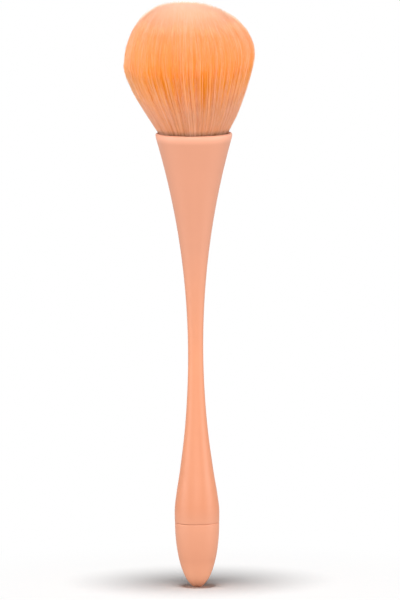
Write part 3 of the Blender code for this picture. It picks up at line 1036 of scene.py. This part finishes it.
        # Dark streaks in some wide locks: partly painted shade between locks.
        streak = (STREAK_FROM - self.wide_tone).math("MAXIMUM", 0) * STREAK_DEPTH
        own = self.chance(-STRAND_TONE, STRAND_TONE, 5)
        tone = own + self.wide_tone * WIDE_TONE + self.fine_tone * FINE_TONE + 0.5 - streak
        side = (self.cone_x / self.thinning + 1) * 0.5
        shown = (tone.clamped() * (1 - SIDE_TONE) + side * SIDE_TONE) * PALE_FROM
        near_tip = (1 - self.to_tip / number["Pale Tip"]).clamped() * TIP_PALENESS
        loose_length = number["Loose Pale Tip"]
        near_loose_tip = (1 - self.to_tip / loose_length).clamped()
        in_fan = ((self.edge - self.height) / loose_length + self.chance(*FAN_SCATTER, 8)).clamped()
        from_rim = (self.height - number["Foot Height"]) / loose_length + RIM_PALENESS
        fan_paleness = in_fan * (from_rim.clamped() * LOOSE_PALENESS)
        pale = self.under * near_tip + self.loose * near_loose_tip.math("MAXIMUM", fan_paleness)
        shown = shown + (1 - shown) * pale
        up = self.height_share * (1 - 2 * MAP_MARGIN) + MAP_MARGIN
        inputs = {"Geometry": self.body, "Name": BRISTLE_MAP, "Value": self.vector(shown, up, 0)}
        mapped = self.add("GeometryNodeStoreNamedAttribute", inputs, data_type="FLOAT2", domain="CORNER")
        inputs = {"Geometry": mapped.outputs["Geometry"]}
        self.body = self.add("GeometryNodeSetShadeSmooth", inputs).outputs["Geometry"]

    def soften_light(self):
        """The light follows the tuft's form, on the dome and a little way below the widest ring."""
        here_x, here_y, here_z = self.axes(self.add("GeometryNodeInputPosition").outputs["Position"])
        above = here_z - self.edge
        form = self.unit(self.vector(here_x + self.lean, here_y, above.math("MAXIMUM", 0)))
        blend = (above / SOFT_LENGTH + SOFT_START).clamped() * self.number["Softness"]
        inputs = {
            "Factor": blend,
            self.FACING_OWN: self.add("GeometryNodeInputNormal").outputs["Normal"],
            self.FACING_FORM: form,
        }
        facing = self.add("ShaderNodeMix", inputs, data_type="VECTOR").outputs[self.FACING_RESULT]
        inputs = {"Mesh": self.body, "Custom Normal": self.unit(facing)}
        softened = self.add("GeometryNodeSetMeshNormal", inputs, mode="FREE", domain="POINT")
        self.body = softened.outputs["Mesh"]


# Stage

SENSOR_WIDTH = 36  # in millimetres
CAMERA_REACH = 20  # how far the camera sees
LAMP_AIM = (0, 0, 0.1)  # what the lamps before and beside the brush point at
FRONT_LAMP_PLACE, FRONT_LAMP_SIZE = (0, -0.9, 0.5), (0.7, 0.5)
LEFT_LAMP_PLACE, RIGHT_LAMP_PLACE = (-0.95, -0.3, 0.25), (0.95, -0.3, 0.25)
SIDE_LAMP_SIZE = (0.5, 0.5)
FLOOR_SIDES = 96  # steps round the floor
FLOOR_UNSEEN, FLOOR_SEEN = 0.8, 0.98  # how white the floor is to the brush, and to the camera
FLOOR_LIFT = 0.02  # the light that the floor adds for the camera, to come out white
WHITE_START = 0.45  # where the floor begins to turn plain white, as a share of the white radius


def seen(tree):
    """1 for what is seen, also in gloss and through glass, and 0 for what lights the brush."""
    path = tree.add("ShaderNodeLightPath")
    rays = Value(tree, path.outputs["Is Camera Ray"])
    for kind in ("Is Glossy Ray", "Is Transmission Ray"):
        rays = rays.math("MAXIMUM", Value(tree, path.outputs[kind]))
    return rays


class BRUSH_OT_stage(bpy.types.Operator):
    """Set the camera, the soft lamps, the white floor and the even light round the brush"""

    bl_idname = "brush.stage"
    bl_label = "Stage"

    def execute(self, context):
        s = context.scene.brush_stage
        self.camera(context.scene, s)
        self.lamps(s, self.floor(s))
        self.world(context.scene, s)
        context.scene.view_settings.view_transform = "Standard"
        return {"FINISHED"}

    @staticmethod
    def camera(scene, s):
        data = bpy.data.cameras.new("camera")
        data.sensor_width = SENSOR_WIDTH
        data.lens = data.sensor_width * s.distance / s.view_height
        data.clip_end = CAMERA_REACH
        camera = placed("camera", data)
        back = Vector((0, -math.cos(s.elevation), math.sin(s.elevation)))
        aim = Vector((s.aim_side, 0, s.aim_height))
        facing = Matrix.Rotation(math.pi / 2 - s.elevation, 4, "X") @ Matrix.Rotation(-s.roll, 4, "Z")
        camera.matrix_world = Matrix.Translation(aim + back * s.distance) @ facing
        scene.camera = camera

    @staticmethod
    def lamp(name, place, aim, size, level):
        data = bpy.data.lights.new(name, "AREA")
        data.shape = "ELLIPSE"
        data.size, data.size_y = size
        data.energy = level
        lamp = placed(name, data)
        lamp.visible_camera = False
        facing = (Vector(aim) - Vector(place)).to_track_quat("-Z", "Y").to_matrix().to_4x4()
        lamp.matrix_world = Matrix.Translation(place) @ facing
        return lamp

    def lamps(self, s, floor):
        """Lamps over, before and beside the brush light all but the floor, and one lights the floor alone."""
        size = (s.lamp_width, s.lamp_depth)
        place, aim = (s.lamp_side, -s.lamp_front, s.lamp_height), (s.lamp_side, -s.lamp_front, 0)
        above = self.lamp("top_lamp", place, aim, size, s.lamp_level)
        for_floor = self.lamp("floor_lamp", place, aim, size, s.floor_level)
        floor_alone = bpy.data.collections.new("floor_alone")
        floor_alone.objects.link(floor)
        for_floor.light_linking.receiver_collection = floor_alone
        all_but_floor = bpy.data.collections.new("all_but_floor")
        all_but_floor.objects.link(floor)
        all_but_floor.collection_objects[0].light_linking.link_state = "EXCLUDE"
        front = self.lamp("front_lamp", FRONT_LAMP_PLACE, LAMP_AIM, FRONT_LAMP_SIZE, s.front_level)
        left = self.lamp("left_lamp", LEFT_LAMP_PLACE, LAMP_AIM, SIDE_LAMP_SIZE, s.left_level)
        right = self.lamp("right_lamp", RIGHT_LAMP_PLACE, LAMP_AIM, SIDE_LAMP_SIZE, s.right_level)
        for lamp in (above, front, left, right):
            lamp.light_linking.receiver_collection = all_but_floor

    @staticmethod
    def floor(s):
        """White to the camera, with the brush's soft shadow in its middle."""
        bpy.ops.mesh.primitive_circle_add(vertices=FLOOR_SIDES, radius=s.floor_radius, fill_type="NGON")
        floor = bpy.context.object
        floor.name = "floor"
        made, tree, shader = new_material("white_floor")
        shader.inputs["Roughness"].default_value = 1
        shader.inputs["Specular IOR Level"].default_value = 0
        place = tree.add("ShaderNodeTexCoord").outputs["Object"]
        far = tree.value("ShaderNodeVectorMath", {0: place}, "Value", operation="LENGTH")
        shown = seen(tree)
        colour = tree.mixed(shown, faded(WHITE, FLOOR_UNSEEN), faded(WHITE, FLOOR_SEEN))
        tree.feed(shader.inputs["Base Color"], colour)
        inputs = {"Value": far / s.white_radius, "From Min": WHITE_START, "From Max": 1}
        away = tree.value("ShaderNodeMapRange", inputs, interpolation_type="SMOOTHSTEP")
        white = tree.add("ShaderNodeEmission", {"Strength": 1}).outputs[0]
        lift = tree.add("ShaderNodeEmission", {"Strength": shown * FLOOR_LIFT}).outputs[0]
        lit = tree.add("ShaderNodeAddShader", {0: shader.outputs[0], 1: lift}).outputs[0]
        mixed = tree.add("ShaderNodeMixShader", {0: shown * away, 1: lit, 2: white}).outputs[0]
        tree.feed(made.node_tree.nodes["Material Output"].inputs["Surface"], mixed)
        floor.data.materials.append(made)
        return floor

    @staticmethod
    def world(scene, s):
        """White where it is seen, and a faint even light on the brush."""
        world = bpy.data.worlds.new("even_light")
        world.use_nodes = True
        tree = Tree(world.node_tree)
        background = world.node_tree.nodes["Background"]
        background.inputs["Color"].default_value = (*WHITE, 1)
        tree.feed(background.inputs["Strength"], s.world_level + seen(tree) * (1 - s.world_level))
        scene.world = world


class BRUSH_PT_panel(bpy.types.Panel):
    """Lists the pieces of the brush"""

    bl_idname = "BRUSH_PT_panel"
    bl_label = "Dust brush"
    bl_space_type = "VIEW_3D"
    bl_region_type = "UI"
    bl_category = "Dust brush"

    def draw(self, context):
        for operator in OPERATORS:
            self.layout.operator(operator.bl_idname)


SETTINGS = {
    "brush_handle": HandleSettings,
    "brush_cap": CapSettings,
    "brush_tuft": TuftSettings,
    "brush_stage": StageSettings,
}
OPERATORS = (BRUSH_OT_handle, BRUSH_OT_cap, BRUSH_OT_knot, BRUSH_OT_bristles, BRUSH_OT_stage)


def register():
    for group in (*SETTINGS.values(), *OPERATORS, BRUSH_PT_panel):
        bpy.utils.register_class(group)
    for name, group in SETTINGS.items():
        setattr(bpy.types.Scene, name, PointerProperty(type=group))


def unregister():
    for name in SETTINGS:
        delattr(bpy.types.Scene, name)
    for group in (BRUSH_PT_panel, *reversed(OPERATORS), *reversed(SETTINGS.values())):
        bpy.utils.unregister_class(group)


def main():
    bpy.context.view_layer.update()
    register()
    bpy.ops.brush.handle()
    bpy.ops.brush.cap()
    bpy.ops.brush.knot()
    bpy.ops.brush.bristles()
    bpy.ops.brush.stage()


if __name__ == "__main__":
    main()
